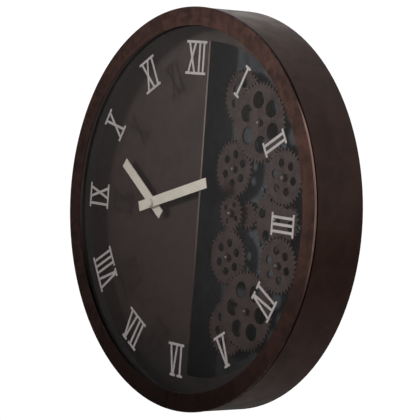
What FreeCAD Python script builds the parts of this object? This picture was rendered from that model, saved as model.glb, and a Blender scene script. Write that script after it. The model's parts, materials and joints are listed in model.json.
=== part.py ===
"""Wall clock with an off-centre dial and a train of exposed turning gears.

Frame: X to the right, Z up, Y into the wall. The origin is the middle of the
case. Depths in the sheet are counted from the front face of the bezel.
"""
import FreeCAD, Part
import math
import os

import Sketcher
from FreeCAD import Placement, Rotation, Vector

DIMENSIONS = {
    # case
    "case_radius": 232.5,
    "case_depth": 70.0,
    "sheet_metal": 1.2,
    "bezel_inner_radius": 211.0,
    "bezel_edge_round": 0.8,
    "bezel_metal": 1.8,
    "bezel_skirt_depth": 15.0,
    "bezel_skirt_wall": 1.5,
    "bezel_lip_depth": 4.0,
    "drum_inset": 0.5,
    "drum_front": 3.8,
    "drum_rear": 68.0,
    "rear_flange_inner": 210.0,
    "glass_radius": 228.8,
    "glass_thickness": 3.0,
    "gasket_inner": 222.5,
    "front_ring_front": 8.0,
    "front_ring_inner": 220.6,
    "front_ring_wall": 1.5,
    "rear_ring_inner": 225.5,
    "rear_ring_wall": 1.5,
    "inner_disc_radius": 229.6,
    "dial_front": 26.0,
    "dial_thickness": 2.0,
    "dial_opening_radius": 194.5,
    "dial_opening_left": -6.0,
    "board_front": 51.0,
    "board_thickness": 2.0,
    "bracket_count": 6,
    "bracket_angle": 30.0,
    "bracket_length": 12.0,
    "bracket_width": 16.0,
    "bracket_inner": 198.0,
    "bracket_screw_circle": 204.0,
    "screw_radius": 1.5,
    "screw_head_radius": 2.9,
    "screw_head_height": 1.8,
    "bumper_count": 4,
    "bumper_radius": 6.0,
    "bumper_circle": 221.0,
    "hanger_width": 44.0,
    "hanger_bottom": 180.0,
    "hanger_top": 226.0,
    "keyhole_height": 192.0,
    "keyhole_radius": 5.0,
    "keyhole_slot": 5.0,
    "keyhole_slot_length": 12.0,
    "rivet_spacing": 30.0,
    "rivet_height": 220.0,
    "rivet_radius": 2.0,
    "rivet_head_radius": 3.6,
    "rivet_head_height": 1.0,
    # numerals
    "numeral_circle": 174.4,
    "numeral_height": 38.8,
    "numeral_bar": 2.9,
    "numeral_stem": 3.1,
    "numeral_thickness": 0.3,
    "one_width": 7.8,
    "five_width": 19.4,
    "ten_width": 19.8,
    "serif_overhang": 1.0,
    # dial and hands
    "dial_axis": -86.0,
    "hour_hand_front": 18.6,
    "minute_hand_front": 15.6,
    "hand_metal": 0.8,
    "hand_width": 12.0,
    "hour_hand_reach": 75.0,
    "hour_hand_tail": 22.0,
    "minute_hand_reach": 110.0,
    "minute_hand_tail": 23.0,
    "minute_hand_clock_angle": 72.8,
    "hour_hand_clock_angle": 305.0,
    "cap_radius": 5.0,
    "cap_front": 13.2,
    "cap_length": 2.2,
    "cap_crown": 1.0,
    "cap_edge_round": 0.6,
    # movement
    "movement_half": 28.0,
    "movement_front": 29.0,
    "movement_back": 45.0,
    "movement_wall": 1.2,
    "bush_radius": 4.0,
    "bush_front": 21.5,
    "hour_tube_radius": 2.5,
    "minute_shaft_radius": 1.5,
    "running_gap": 0.06,
    "motion_centre": 9.6,
    "cannon_teeth": 12,
    "motion_teeth": 36,
    "motion_pinion_teeth": 10,
    "hour_teeth": 40,
    "motion_plate": 0.9,
    "motion_pinion_thickness": 1.4,
    "motion_gap": 0.6,
    "motion_step": 2.6,
    "knob_radius": 5.0,
    "knob_shaft_radius": 1.2,
    "knob_height": 2.4,
    "knob_gap": 0.6,
    "access_half": 31.0,
    "cell_radius": 7.1,
    "cell_length": 49.5,
    "movement_cell_drop": 18.6,
    "cell_play": 1.2,
    "cell_tip_radius": 2.6,
    "cell_tip_height": 1.0,
    "nut_radius": 6.4,
    "nut_height": 2.2,
    "washer_radius": 12.0,
    "coil_radius": 4.6,
    "coil_core_radius": 3.6,
    "coil_flange": 1.0,
    "coil_length": 20.0,
    "coil_height": 22.1,
    "coil_depth": 8.0,
    # gear train
    "tooth_module": 1.85,
    "large_teeth": 48,
    "middle_teeth": 40,
    "small_teeth": 34,
    "medium_teeth": 21,
    "drive_teeth": 16,
    "link_teeth": 18,
    "wheel_thickness": 2.5,
    "pinion_thickness": 3.4,
    "front_layer": 33.0,
    "middle_layer": 39.5,
    "rear_layer": 45.0,
    "hub_radius": 4.0,
    "hub_front": 0.6,
    "hub_gap": 0.4,
    "stud_radius": 1.5,
    "stud_reach": 3.0,
    "stud_chamfer": 0.35,
    "stud_nut_radius": 3.6,
    "stud_nut_height": 2.2,
    "collar_radius": 4.3,
    "collar_length": 2.3,
    "collar_play": 0.15,
    "shaft_shoulder_radius": 2.4,
    "shaft_shoulder_length": 2.6,
    "large_hole_radius": 10.0,
    "large_hole_circle": 25.3,
    "middle_hole_radius": 6.0,
    "middle_hole_circle": 26.0,
    "small_hole_radius": 5.0,
    "small_hole_circle": 16.6,
    "medium_hole_radius": 3.2,
    "medium_hole_circle": 11.0,
    "left_column": 38.4,
    "transfer_centre": 23.8,
    "side_arm_angle": 66.1,
    "large_arm_angle": 130.4,
    "end_arm_angle": 148.1,
    "upper_large_gear_hole": 100.0,
    "upper_right_gear_hole": 109.5,
    "upper_end_gear_hole": 86.0,
    "lower_large_gear_hole": 116.6,
    "lower_right_gear_hole": 103.0,
    "lower_end_gear_hole": 75.5,
    "middle_large_gear_hole": 49.0,
    "upper_left_gear_hole": 84.4,
    "lower_left_gear_hole": 84.0,
    "left_middle_gear_hole": 62.0,
    "transfer_teeth": 28,
    "transfer_thickness": 2.4,
    "transfer_gap": 0.5,
    # gear drive
    "drive_left": 8.0,
    "drive_right": 88.0,
    "drive_half_height": 35.0,
    "drive_back": 67.4,
    "drive_wall": 1.3,
    "drive_screw_x_inset": 7.5,
    "drive_screw_height": 30.5,
    "drive_screw_length": 6.0,
    "drive_boss_wall": 1.8,
    "drive_cell_axis": 16.5,
    "gearmotor_radius": 13.5,
    "gearmotor_front": 58.0,
    "gearmotor_back": 65.8,
    "gearmotor_grip": 3.0,
    "switch_axis": 81.5,
    "switch_half": 2.2,
    "switch_travel": 4.0,
    "switch_plate": 1.8,
    "switch_button": 3.6,
    "switch_play": 0.3,
}

PRESSURE_ANGLE = math.radians(22)
TOOTH_ADDENDUM = 0.9
TOOTH_DEDENDUM = 1.15
TOOTH_BACKLASH = 0.12
FACING_FRONT = Rotation(Vector(1, 0, 0), 90)
LYING_ALONG_X = Rotation(Vector(0, 1, 0), 90)
STANDING_ALONG_Z = Rotation()

doc = FreeCAD.newDocument("gear_wall_clock")
dims = doc.addObject("Spreadsheet::Sheet", "dims")
for row, (alias, size) in enumerate(DIMENSIONS.items(), start=1):
    dims.set(f"A{row}", alias)
    dims.set(f"B{row}", str(size))
    dims.setAlias(f"B{row}", alias)
doc.recompute()

sub_parts = []


def value(expression):
    """The number that an expression over the sheet gives."""
    result = dims.evalExpression(str(expression))
    return float(getattr(result, "Value", result))


# ---------------------------------------------------------------- helpers

def new_body(label):
    """An empty body, listed as a sub-part of the clock."""
    body = doc.addObject("PartDesign::Body", label)
    body.Label = label
    sub_parts.append(body)
    return body


def seat(piece, x="0", depth="0", z="0", turn=0.0, rotation=FACING_FRONT):
    """Put a piece at a depth, as a rule with its local +Z towards the viewer."""
    piece.Placement = Placement(Vector(), rotation * Rotation(Vector(0, 0, 1), turn))
    piece.setExpression("Placement.Base.x", str(x))
    piece.setExpression("Placement.Base.y", f"({depth}) - dims.case_depth / 2")
    piece.setExpression("Placement.Base.z", str(z))


def new_sketch(body, name, plane="XY_Plane", height=None):
    """A sketch on one of the body's own planes, at an optional height above it."""
    sketch = body.newObject("Sketcher::SketchObject", f"{body.Label}_{name}")
    support = next(item for item in body.Origin.OriginFeatures if item.Role == plane)
    sketch.AttachmentSupport = [(support, "")]
    sketch.MapMode = "FlatFace"
    if height is not None:
        sketch.setExpression("AttachmentOffset.Base.z", str(height))
    return sketch


def hold(sketch, kind, vertex, expression):
    """Fix one coordinate of a vertex from the sketch origin to an expression."""
    index = sketch.addConstraint(Sketcher.Constraint(kind, -1, 1, *vertex, value(expression)))
    sketch.setExpression(f"Constraints[{index}]", str(expression))


def arc_edge(start, end, radius, side):
    """The short arc of a radius between two points, bulging to one side of the chord."""
    chord = end - start
    sagitta = radius - math.sqrt(radius ** 2 - (chord.Length / 2) ** 2)
    outward = Vector(chord.y, -chord.x, 0).normalize() * side
    return Part.Arc(start, start + chord * 0.5 + outward * sagitta, end)


def vertex_at(sketch, edge, point):
    """The end of an edge that lies at a point."""
    ends = [(sketch.getPoint(edge, end) - point).Length for end in (1, 2)]
    return (edge, 1 if ends[0] < ends[1] else 2)


def outline(sketch, corners):
    """A closed outline whose corners are pairs of expressions.

    A corner may add (radius, side): the edge that leaves it is then an arc.
    """
    points = [Vector(value(corner[0]), value(corner[1]), 0) for corner in corners]
    first = sketch.GeometryCount
    for index, corner in enumerate(corners):
        start = points[index]
        end = points[(index + 1) % len(points)]
        if len(corner) > 2:
            sketch.addGeometry(arc_edge(start, end, value(corner[2]), corner[3]), False)
        else:
            sketch.addGeometry(Part.LineSegment(start, end), False)
    for index, corner in enumerate(corners):
        arriving = vertex_at(sketch, first + (index - 1) % len(corners), points[index])
        leaving = vertex_at(sketch, first + index, points[index])
        sketch.addConstraint(Sketcher.Constraint("Coincident", *arriving, *leaving))
        hold(sketch, "DistanceX", leaving, corner[0])
        hold(sketch, "DistanceY", leaving, corner[1])
        if len(corner) > 2:
            radius = sketch.addConstraint(Sketcher.Constraint("Radius", first + index, value(corner[2])))
            sketch.setExpression(f"Constraints[{radius}]", str(corner[2]))


def circle(sketch, x, y, radius):
    """A circle with its centre and radius bound to expressions."""
    shape = Part.Circle(Vector(value(x), value(y), 0), Vector(0, 0, 1), value(radius))
    index = sketch.addGeometry(shape, False)
    hold(sketch, "DistanceX", (index, 3), x)
    hold(sketch, "DistanceY", (index, 3), y)
    bound = sketch.addConstraint(Sketcher.Constraint("Radius", index, value(radius)))
    sketch.setExpression(f"Constraints[{bound}]", str(radius))


def rectangle(sketch, left, right, bottom, top):
    """A rectangle between four expressions."""
    outline(sketch, [(left, bottom), (right, bottom), (right, top), (left, top)])


def pad(body, sketch, length):
    """Pad a sketch away from the viewer."""
    feature = body.newObject("PartDesign::Pad", f"{sketch.Name}_pad")
    feature.Profile = sketch
    feature.Reversed = True
    feature.setExpression("Length", str(length))
    return feature


def cut(body, sketch, length=None):
    """Pocket a sketch away from the viewer, or right through both ways."""
    before = body.Shape.copy()
    feature = body.newObject("PartDesign::Pocket", f"{sketch.Name}_cut")
    feature.Profile = sketch
    if length is None:
        feature.Type = "ThroughAll"
        feature.Midplane = True
    else:
        feature.Reversed = False
        feature.setExpression("Length", str(length))
    doc.recompute()
    if feature.Shape.Volume >= before.Volume:
        raise RuntimeError(f"{feature.Name} removes nothing")
    return feature


def around(body, features, count):
    """Repeat features evenly around the body's own Z axis."""
    pattern = body.newObject("PartDesign::PolarPattern", f"{features[-1].Name}_ring")
    pattern.Originals = features
    axis = next(item for item in body.Origin.OriginFeatures if item.Role == "Z_Axis")
    pattern.Axis = (axis, [""])
    pattern.Angle = 360
    pattern.setExpression("Occurrences", str(count))
    body.Tip = pattern
    doc.recompute()


def turned(label, corners, depth="0", x="0", z="0"):
    """A piece of revolution: corners are (radius, height towards the viewer)."""
    body = new_body(label)
    section = new_sketch(body, "section", "XZ_Plane")
    outline(section, corners)
    revolve(body, section)
    seat(body, x, depth, z)
    return body


def revolve(body, section):
    """Revolve a section about its own vertical axis."""
    feature = body.newObject("PartDesign::Revolution", f"{section.Name}_turned")
    feature.Profile = section
    feature.ReferenceAxis = (section, ["V_Axis"])
    feature.Angle = 360
    return feature


def tube(label, inner, outer, front, back, x="0", z="0"):
    """A plain ring between two radii and two depths."""
    corners = [(inner, "0"), (outer, "0"), (outer, f"({front}) - ({back})"), (inner, f"({front}) - ({back})")]
    return turned(label, corners, front, x, z)


def rod_corners(radius, length):
    """The half section of a plain rod that runs back from its front end."""
    return [("0", "0"), (radius, "0"), (radius, f"-({length})"), ("0", f"-({length})")]


def group(label, shapes):
    """Several separate solids of one kind, kept as one sub-part."""
    feature = doc.addObject("Part::Feature", label)
    feature.Label = label
    feature.Shape = Part.Compound(shapes)
    feature.Placement = Placement(Vector(0, -value("dims.case_depth") / 2, 0), FACING_FRONT)
    sub_parts.append(feature)
    return feature


def prism(points, front, back):
    """A straight-sided piece of a group between two depths."""
    corners = [Vector(x, y, -front) for x, y in points]
    face = Part.Face(Part.makePolygon(corners + corners[:1]))
    return face.extrude(Vector(0, 0, front - back))


def rod(x, z, radius, front, back):
    """A round piece of a group between two depths."""
    return Part.makeCylinder(radius, back - front, Vector(x, z, -back))


def on_circle(radius, angle):
    """The point at an angle counter-clockwise from the right."""
    return radius * math.cos(math.radians(angle)), radius * math.sin(math.radians(angle))


# ---------------------------------------------------------------- toothed wheels

def pitch_radius(teeth, module="dims.tooth_module"):
    """Expression for the pitch radius of a wheel."""
    return f"({teeth}) * ({module}) / 2"


def involute(angle):
    """The involute function of a pressure angle."""
    return math.tan(angle) - angle


def flank_point(teeth, module, radius, side):
    """A point of the flank beside the tooth gap that lies on the +X axis."""
    pitch = teeth * module / 2
    base = pitch * math.cos(PRESSURE_ANGLE)
    rolled = involute(math.acos(min(1.0, base / max(radius, base))))
    half_tooth = math.pi / (2 * teeth) - TOOTH_BACKLASH * module / (2 * pitch)
    half_gap = math.pi / teeth - half_tooth - involute(PRESSURE_ANGLE) + rolled
    return Vector(radius * math.cos(half_gap), side * radius * math.sin(half_gap), 0)


def draw_gap(sketch, teeth, module):
    """The closed outline of one gap between two teeth, centred on the +X axis."""
    pitch = teeth * module / 2
    tip = pitch + TOOTH_ADDENDUM * module
    root = pitch - TOOTH_DEDENDUM * module
    start = max(root, pitch * math.cos(PRESSURE_ANGLE))
    beyond = Vector(module, 0, 0)
    edges = []
    flanks = []
    for side in (-1, 1):
        foot = flank_point(teeth, module, start, side)
        middle = flank_point(teeth, module, (start + tip) / 2, side)
        top = flank_point(teeth, module, tip, side)
        floor = foot * (root / foot.Length)
        edges.append(Part.Arc(foot, middle, top))
        edges.append(Part.LineSegment(top, top + beyond))
        if start > root:
            edges.append(Part.LineSegment(floor, foot))
        flanks.append((floor, top + beyond))
    edges.append(Part.Arc(flanks[0][0], Vector(root, 0, 0), flanks[1][0]))
    edges.append(Part.LineSegment(flanks[0][1], flanks[1][1]))
    sketch.addGeometry(edges, False)


def toothed_disc(body, teeth, thickness, module="dims.tooth_module"):
    """A disc with teeth around it; one tooth gap lies on the local +X axis."""
    blank = new_sketch(body, "blank")
    circle(blank, "0", "0", f"{pitch_radius(teeth, module)} + {TOOTH_ADDENDUM} * ({module})")
    pad(body, blank, thickness)
    doc.recompute()
    gap = new_sketch(body, "tooth_gap")
    draw_gap(gap, round(value(teeth)), value(module))
    around(body, [cut(body, gap)], teeth)


def add_hub(body, radius, front, length):
    """A round boss through the disc, from in front of it to behind it."""
    boss = new_sketch(body, "hub", height=front)
    circle(boss, "0", "0", radius)
    pad(body, boss, length)
    doc.recompute()


def add_bore(body, radius):
    """The hole that runs on the stud."""
    bore = new_sketch(body, "bore")
    circle(bore, "0", "0", radius)
    cut(body, bore)


def add_lightening_holes(body, count, hole_circle, hole_radius, first_angle):
    """A ring of round holes, the first at an angle from the local +X axis."""
    holes = new_sketch(body, "lightening_hole")
    x = f"({hole_circle}) * cos({first_angle} deg)"
    y = f"({hole_circle}) * sin({first_angle} deg)"
    circle(holes, x, y, hole_radius)
    around(body, [cut(body, holes)], count)


# ---------------------------------------------------------------- wheel centres

def angle_between(first, second):
    """Direction from one centre to another, counter-clockwise from the right."""
    return math.degrees(math.atan2(second[1] - first[1], second[0] - first[0]))


def mesh_turn(first_teeth, first_turn, second_teeth, direction):
    """Turn of the second wheel that sets it in mesh with the first.

    A turn is the angle of a tooth gap, and the direction runs from the first
    centre to the second.
    """
    return direction + 180 + ((direction - first_turn) * first_teeth - 180) / second_teeth


def mesh_distance(first, second):
    """Centre distance of two wheels of the train in mesh."""
    return value(f"({first} + {second}) * dims.tooth_module / 2")


def step(start, reach, angle):
    """The point at a distance and a direction from another."""
    x, z = on_circle(reach, angle)
    return start[0] + x, start[1] + z


def mirrored(point):
    """The same point on the other side of the horizontal middle line."""
    return point[0], -point[1]


LARGE = round(value("dims.large_teeth"))
MIDDLE = round(value("dims.middle_teeth"))
SMALL = round(value("dims.small_teeth"))
MEDIUM = round(value("dims.medium_teeth"))
DRIVE = round(value("dims.drive_teeth"))
LINK = round(value("dims.link_teeth"))
SIDE_ARM = value("dims.side_arm_angle")
LARGE_ARM = value("dims.large_arm_angle")
END_ARM = value("dims.end_arm_angle")

LEFT_CENTRE = (value("dims.left_column"), 0.0)
LEFT_UPPER = (LEFT_CENTRE[0], mesh_distance(MEDIUM, SMALL))
DRIVE_CENTRE = (LEFT_CENTRE[0] + value("dims.transfer_centre"), 0.0)
MIDDLE_LARGE = (DRIVE_CENTRE[0] + mesh_distance(DRIVE, MIDDLE), 0.0)
RIGHT_UPPER = step(MIDDLE_LARGE, mesh_distance(MIDDLE, LINK), SIDE_ARM)
LARGE_UPPER = step(RIGHT_UPPER, mesh_distance(SMALL, LARGE), LARGE_ARM)
END_UPPER = step(LARGE_UPPER, mesh_distance(LINK, SMALL), END_ARM)

FRONT_STUDS = [LARGE_UPPER, RIGHT_UPPER, mirrored(RIGHT_UPPER), mirrored(LARGE_UPPER)]
MIDDLE_STUDS = [END_UPPER, LEFT_UPPER, mirrored(LEFT_UPPER), mirrored(END_UPPER)]
REAR_STUDS = [MIDDLE_LARGE]


# ---------------------------------------------------------------- case

DRUM_OUTER = "dims.case_radius - dims.drum_inset"
DRUM_INNER = f"{DRUM_OUTER} - dims.sheet_metal"


def case_shell():
    """Rolled steel drum with an inward flange at the back."""
    body = new_body("case_shell")
    section = new_sketch(body, "section", "XZ_Plane")
    outer = DRUM_OUTER
    inner = DRUM_INNER
    back = "dims.drum_front - dims.drum_rear"
    outline(section, [
        (inner, "0"), (outer, "0"), (outer, back), ("dims.rear_flange_inner", back),
        ("dims.rear_flange_inner", f"{back} + dims.sheet_metal"), (inner, f"{back} + dims.sheet_metal"),
    ])
    revolve(body, section)
    doc.recompute()
    rivet_holes(body, f"{back} + dims.sheet_metal * 2")
    seat(body, depth="dims.drum_front")


def rivet_holes(body, height):
    """Two holes for the hanger rivets, cut from a height down through the sheet."""
    holes = new_sketch(body, "rivet_hole", height=height)
    for side in (-1, 1):
        circle(holes, f"{side} * dims.rivet_spacing / 2", "dims.rivet_height", "dims.rivet_radius")
    cut(body, holes, "dims.sheet_metal * 4")


def bezel_ring():
    """Flat front ring with a returned inner lip and a skirt that fits inside the drum."""
    edge = "dims.bezel_edge_round"
    skirt_outer = DRUM_INNER
    skirt_inner = f"{skirt_outer} - dims.bezel_skirt_wall"
    inner = "dims.bezel_inner_radius"
    metal = "dims.bezel_metal"
    turned("bezel_ring", [
        (inner, "0"), (f"dims.case_radius - {edge}", "0", edge, -1), ("dims.case_radius", f"-{edge}"),
        ("dims.case_radius", f"-{metal}"), (skirt_outer, f"-{metal}"),
        (skirt_outer, "-dims.bezel_skirt_depth"), (skirt_inner, "-dims.bezel_skirt_depth"),
        (skirt_inner, f"-{metal}"), (f"{inner} + {metal}", f"-{metal}"),
        (f"{inner} + {metal}", "-dims.bezel_lip_depth"), (inner, "-dims.bezel_lip_depth"),
    ])


def glazing():
    """Glass, its rubber gasket and the grey ring that stands between glass and dial."""
    front = "dims.bezel_lip_depth"
    behind = f"{front} + dims.glass_thickness"
    turned("glass_lens", rod_corners("dims.glass_radius", "dims.glass_thickness"), front)
    tube("lens_gasket", "dims.gasket_inner", "dims.glass_radius", behind, "dims.front_ring_front")
    inner = "dims.front_ring_inner"
    wall = "dims.front_ring_wall"
    back = "dims.front_ring_front - dims.dial_front"
    turned("front_spacer_ring", [
        (inner, "0"), ("dims.glass_radius", "0"), ("dims.glass_radius", f"-{wall}"),
        (f"{inner} + {wall}", f"-{wall}"), (f"{inner} + {wall}", back), (inner, back),
    ], "dims.front_ring_front")


def dial_panel():
    """Round fibreboard dial with a D-shaped opening for the gears."""
    body = new_body("dial_panel")
    disc = new_sketch(body, "disc")
    circle(disc, "0", "0", "dims.inner_disc_radius")
    pad(body, disc, "dims.dial_thickness")
    opening = new_sketch(body, "opening")
    radius = "dims.dial_opening_radius"
    left = "dims.dial_opening_left"
    half = f"sqrt(({radius}) ^ 2 - ({left}) ^ 2)"
    outline(opening, [(left, f"-{half}", radius, 1), (radius, "0", radius, 1), (left, half)])
    doc.recompute()
    cut(body, opening)
    bush = new_sketch(body, "bush_hole")
    circle(bush, "dims.dial_axis", "0", "dims.bush_radius")
    cut(body, bush)
    seat(body, depth="dims.dial_front")


def gear_board():
    """Back board that carries the gear studs, with a window behind the movement."""
    body = new_body("gear_board")
    disc = new_sketch(body, "disc")
    circle(disc, "0", "0", "dims.inner_disc_radius")
    pad(body, disc, "dims.board_thickness")
    doc.recompute()
    window = new_sketch(body, "movement_window")
    half = "dims.access_half"
    rectangle(window, f"dims.dial_axis - {half}", f"dims.dial_axis + {half}", f"-{half}", half)
    cut(body, window)
    holes = new_sketch(body, "stud_holes")
    for x, z in FRONT_STUDS + MIDDLE_STUDS + REAR_STUDS:
        circle(holes, x, z, "dims.stud_radius")
    for x, z in (LEFT_CENTRE, DRIVE_CENTRE):
        circle(holes, x, z, "dims.stud_radius + dims.running_gap")
    for x, z in drive_screw_places():
        circle(holes, x, z, "dims.screw_radius")
    cut(body, holes)
    screw_hole = new_sketch(body, "bracket_screw_hole")
    reach = "dims.bracket_screw_circle"
    circle(screw_hole, f"{reach} * cos(dims.bracket_angle)", f"{reach} * sin(dims.bracket_angle)",
           "dims.screw_radius")
    around(body, [cut(body, screw_hole)], "dims.bracket_count")
    seat(body, depth="dims.board_front")


def board_brackets():
    """Bent brackets spot-welded inside the drum, behind the board, and their screws."""
    body = new_body("board_brackets")
    section = new_sketch(body, "section", "XZ_Plane")
    outer = DRUM_INNER
    metal = "dims.front_ring_wall"
    outline(section, [
        ("dims.bracket_inner", "0"), (outer, "0"), (outer, "-dims.bracket_length"),
        (f"{outer} - {metal}", "-dims.bracket_length"), (f"{outer} - {metal}", f"-{metal}"),
        ("dims.bracket_inner", f"-{metal}"),
    ])
    leaf = revolve(body, section)
    leaf.Midplane = True
    leaf.setExpression("Angle", "dims.bracket_width / dims.case_radius * 180 / pi")
    doc.recompute()
    hole = new_sketch(body, "screw_hole")
    circle(hole, "dims.bracket_screw_circle", "0", "dims.screw_radius")
    drilled = cut(body, hole)
    around(body, [leaf, drilled], "dims.bracket_count")
    seat(body, depth="dims.board_front + dims.board_thickness", turn=value("dims.bracket_angle"))
    screw_ring("board_screws", "dims.bracket_screw_circle", "dims.bracket_count", value("dims.bracket_angle"),
               f"dims.board_front + dims.board_thickness + {metal}", f"dims.board_thickness + {metal} + 1")


def screw_ring(label, reach, count, first_angle, face, grip):
    """Pan-head screws on a circle, heads behind a face, shanks running forward."""
    body = new_body(label)
    head = new_sketch(body, "head")
    circle(head, reach, "0", "dims.screw_head_radius")
    head_pad = pad(body, head, "dims.screw_head_height")
    shank = new_sketch(body, "shank", height=grip)
    circle(shank, reach, "0", "dims.screw_radius")
    shank_pad = pad(body, shank, f"{grip} + dims.screw_head_height / 2")
    doc.recompute()
    around(body, [head_pad, shank_pad], count)
    seat(body, depth=face, turn=first_angle)


def wall_bumpers():
    """Rubber buttons on the rear flange that touch the wall."""
    body = new_body("wall_bumpers")
    button = new_sketch(body, "button")
    circle(button, "dims.bumper_circle", "0", "dims.bumper_radius")
    round_pad = pad(body, button, "dims.case_depth - dims.drum_rear")
    around(body, [round_pad], "dims.bumper_count")
    seat(body, depth="dims.drum_rear", turn=180 / value("dims.bumper_count"))


def hanger():
    """Keyhole plate riveted inside the rear flange at the top."""
    body = new_body("hanger_plate")
    half = "dims.hanger_width / 2"
    metal = "dims.sheet_metal"
    plate = new_sketch(body, "plate")
    rectangle(plate, f"-{half}", half, "dims.hanger_bottom", "dims.hanger_top")
    pad(body, plate, metal)
    doc.recompute()
    keyhole = new_sketch(body, "keyhole")
    circle(keyhole, "0", "dims.keyhole_height", "dims.keyhole_radius")
    cut(body, keyhole)
    slot_top = "dims.keyhole_height + dims.keyhole_slot_length"
    slot = new_sketch(body, "slot")
    side = "dims.keyhole_slot / 2"
    rectangle(slot, f"-{side}", side, "dims.keyhole_height", slot_top)
    cut(body, slot)
    crown = new_sketch(body, "slot_crown")
    circle(crown, "0", slot_top, side)
    cut(body, crown)
    rivet_holes(body, "2 * dims.sheet_metal")
    front = f"dims.drum_rear - 2 * {metal}"
    seat(body, depth=front)
    rivets = []
    z = value("dims.rivet_height")
    plate_front = value(front)
    rear = value("dims.drum_rear")
    head = value("dims.rivet_head_height")
    for direction in (-1, 1):
        x = direction * value("dims.rivet_spacing") / 2
        stem = rod(x, z, value("dims.rivet_radius"), plate_front - head, rear + head)
        for head_front in (plate_front - head, rear):
            stem = stem.fuse(rod(x, z, value("dims.rivet_head_radius"), head_front, head_front + head))
        rivets.append(stem.removeSplitter())
    group("hanger_rivets", rivets)


# ---------------------------------------------------------------- numerals

LETTER_WIDTHS = {"I": "dims.one_width", "V": "dims.five_width", "X": "dims.ten_width"}
NUMERALS = ["I", "II", "III", "IV", "V", "VI", "VII", "VIII", "IX", "X", "XI", "XII"]
UPSIDE_DOWN_HOURS = (5, 6, 7)


def stroke(bottom_x, top_x, reach, depth, thickness):
    """A slanted or upright stroke of a letter, cut level at both ends."""
    half_height = reach / 2
    slope = math.hypot(top_x - bottom_x, reach) / reach
    half = value("dims.numeral_stem") / 2 * slope
    corners = [(bottom_x - half, -half_height), (bottom_x + half, -half_height),
               (top_x + half, half_height), (top_x - half, half_height)]
    return prism(corners, depth, depth + thickness)


def bar(left, right, top, depth, thickness):
    """A serif bar along the top or the bottom of the letters."""
    height = value("dims.numeral_height") / 2
    inside = height - value("dims.numeral_bar")
    low, high = (inside, height) if top else (-height, -inside)
    return prism([(left, low), (right, low), (right, high), (left, high)], depth, depth + thickness)


def numeral(letters, depth, thickness):
    """One hour numeral as a single flat piece, centred on its own origin."""
    widths = [value(LETTER_WIDTHS[letter]) for letter in letters]
    reach = value("dims.numeral_height") - value("dims.numeral_bar")
    overhang = value("dims.serif_overhang")
    total = sum(widths)
    pieces = [bar(-total / 2 - overhang, total / 2 + overhang, True, depth, thickness)]
    feet = []
    left = -total / 2
    for letter, width in zip(letters, widths):
        middle = left + width / 2
        spread = width / 2 - value("dims.one_width") / 2
        if letter == "I":
            pieces.append(stroke(middle, middle, reach, depth, thickness))
            feet.append([left, left + width])
        elif letter == "V":
            meeting = value("dims.numeral_stem") / 5
            pieces.append(stroke(middle - meeting, middle - spread, reach, depth, thickness))
            pieces.append(stroke(middle + meeting, middle + spread, reach, depth, thickness))
            foot = value("dims.one_width") / 2
            feet.append([middle - foot, middle + foot])
        else:
            pieces.append(stroke(middle - spread, middle + spread, reach, depth, thickness))
            pieces.append(stroke(middle + spread, middle - spread, reach, depth, thickness))
            feet.append([left, left + width])
        left += width
    for foot_left, foot_right in joined(feet):
        pieces.append(bar(foot_left - overhang, foot_right + overhang, False, depth, thickness))
    whole = pieces[0].multiFuse(pieces[1:])
    return whole.removeSplitter()


def joined(spans):
    """Merge the spans that meet end to end."""
    merged = [list(spans[0])]
    for start, end in spans[1:]:
        if start - merged[-1][1] < 0.01:
            merged[-1][1] = end
        else:
            merged.append([start, end])
    return merged


def hour_numerals():
    """Twelve flat numerals on the glass; five, six and seven stand upright."""
    thickness = value("dims.numeral_thickness")
    depth = value("dims.bezel_lip_depth") - thickness
    pieces = []
    for hour, letters in enumerate(NUMERALS, start=1):
        piece = numeral(letters, depth, thickness)
        upside_down = 180 if hour in UPSIDE_DOWN_HOURS else 0
        x, y = on_circle(value("dims.numeral_circle"), 90 - 30 * hour)
        piece.Placement = Placement(Vector(x, y, 0), Rotation(Vector(0, 0, 1), upside_down - 30 * hour))
        pieces.append(piece)
    group("hour_numerals", pieces)


# ---------------------------------------------------------------- hands

def hand(label, reach, tail, bore, front, clock_angle):
    """A plain rectangular hand on its arbor."""
    body = new_body(label)
    blade = new_sketch(body, "blade")
    half = "dims.hand_width / 2"
    rectangle(blade, f"-{half}", half, f"-{tail}", reach)
    pad(body, blade, "dims.hand_metal")
    doc.recompute()
    add_bore(body, bore)
    seat(body, "dims.dial_axis", front, "0", -value(clock_angle))


def hands():
    """Hour hand, minute hand and the button that holds them."""
    hand("hour_hand", "dims.hour_hand_reach", "dims.hour_hand_tail", "dims.hour_tube_radius",
         "dims.hour_hand_front", "dims.hour_hand_clock_angle")
    hand("minute_hand", "dims.minute_hand_reach", "dims.minute_hand_tail", "dims.minute_shaft_radius",
         "dims.minute_hand_front", "dims.minute_hand_clock_angle")
    radius = "dims.cap_radius"
    shaft = "dims.minute_shaft_radius"
    edge = "dims.cap_edge_round"
    back = "-dims.cap_length"
    socket = "-dims.cap_crown"
    turned("hand_cap", [
        ("0", "0"), (f"{radius} - {edge}", "0", edge, -1), (radius, f"-{edge}"), (radius, back),
        (shaft, back), (shaft, socket), ("0", socket),
    ], "dims.cap_front", "dims.dial_axis")


# ---------------------------------------------------------------- movement

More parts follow.
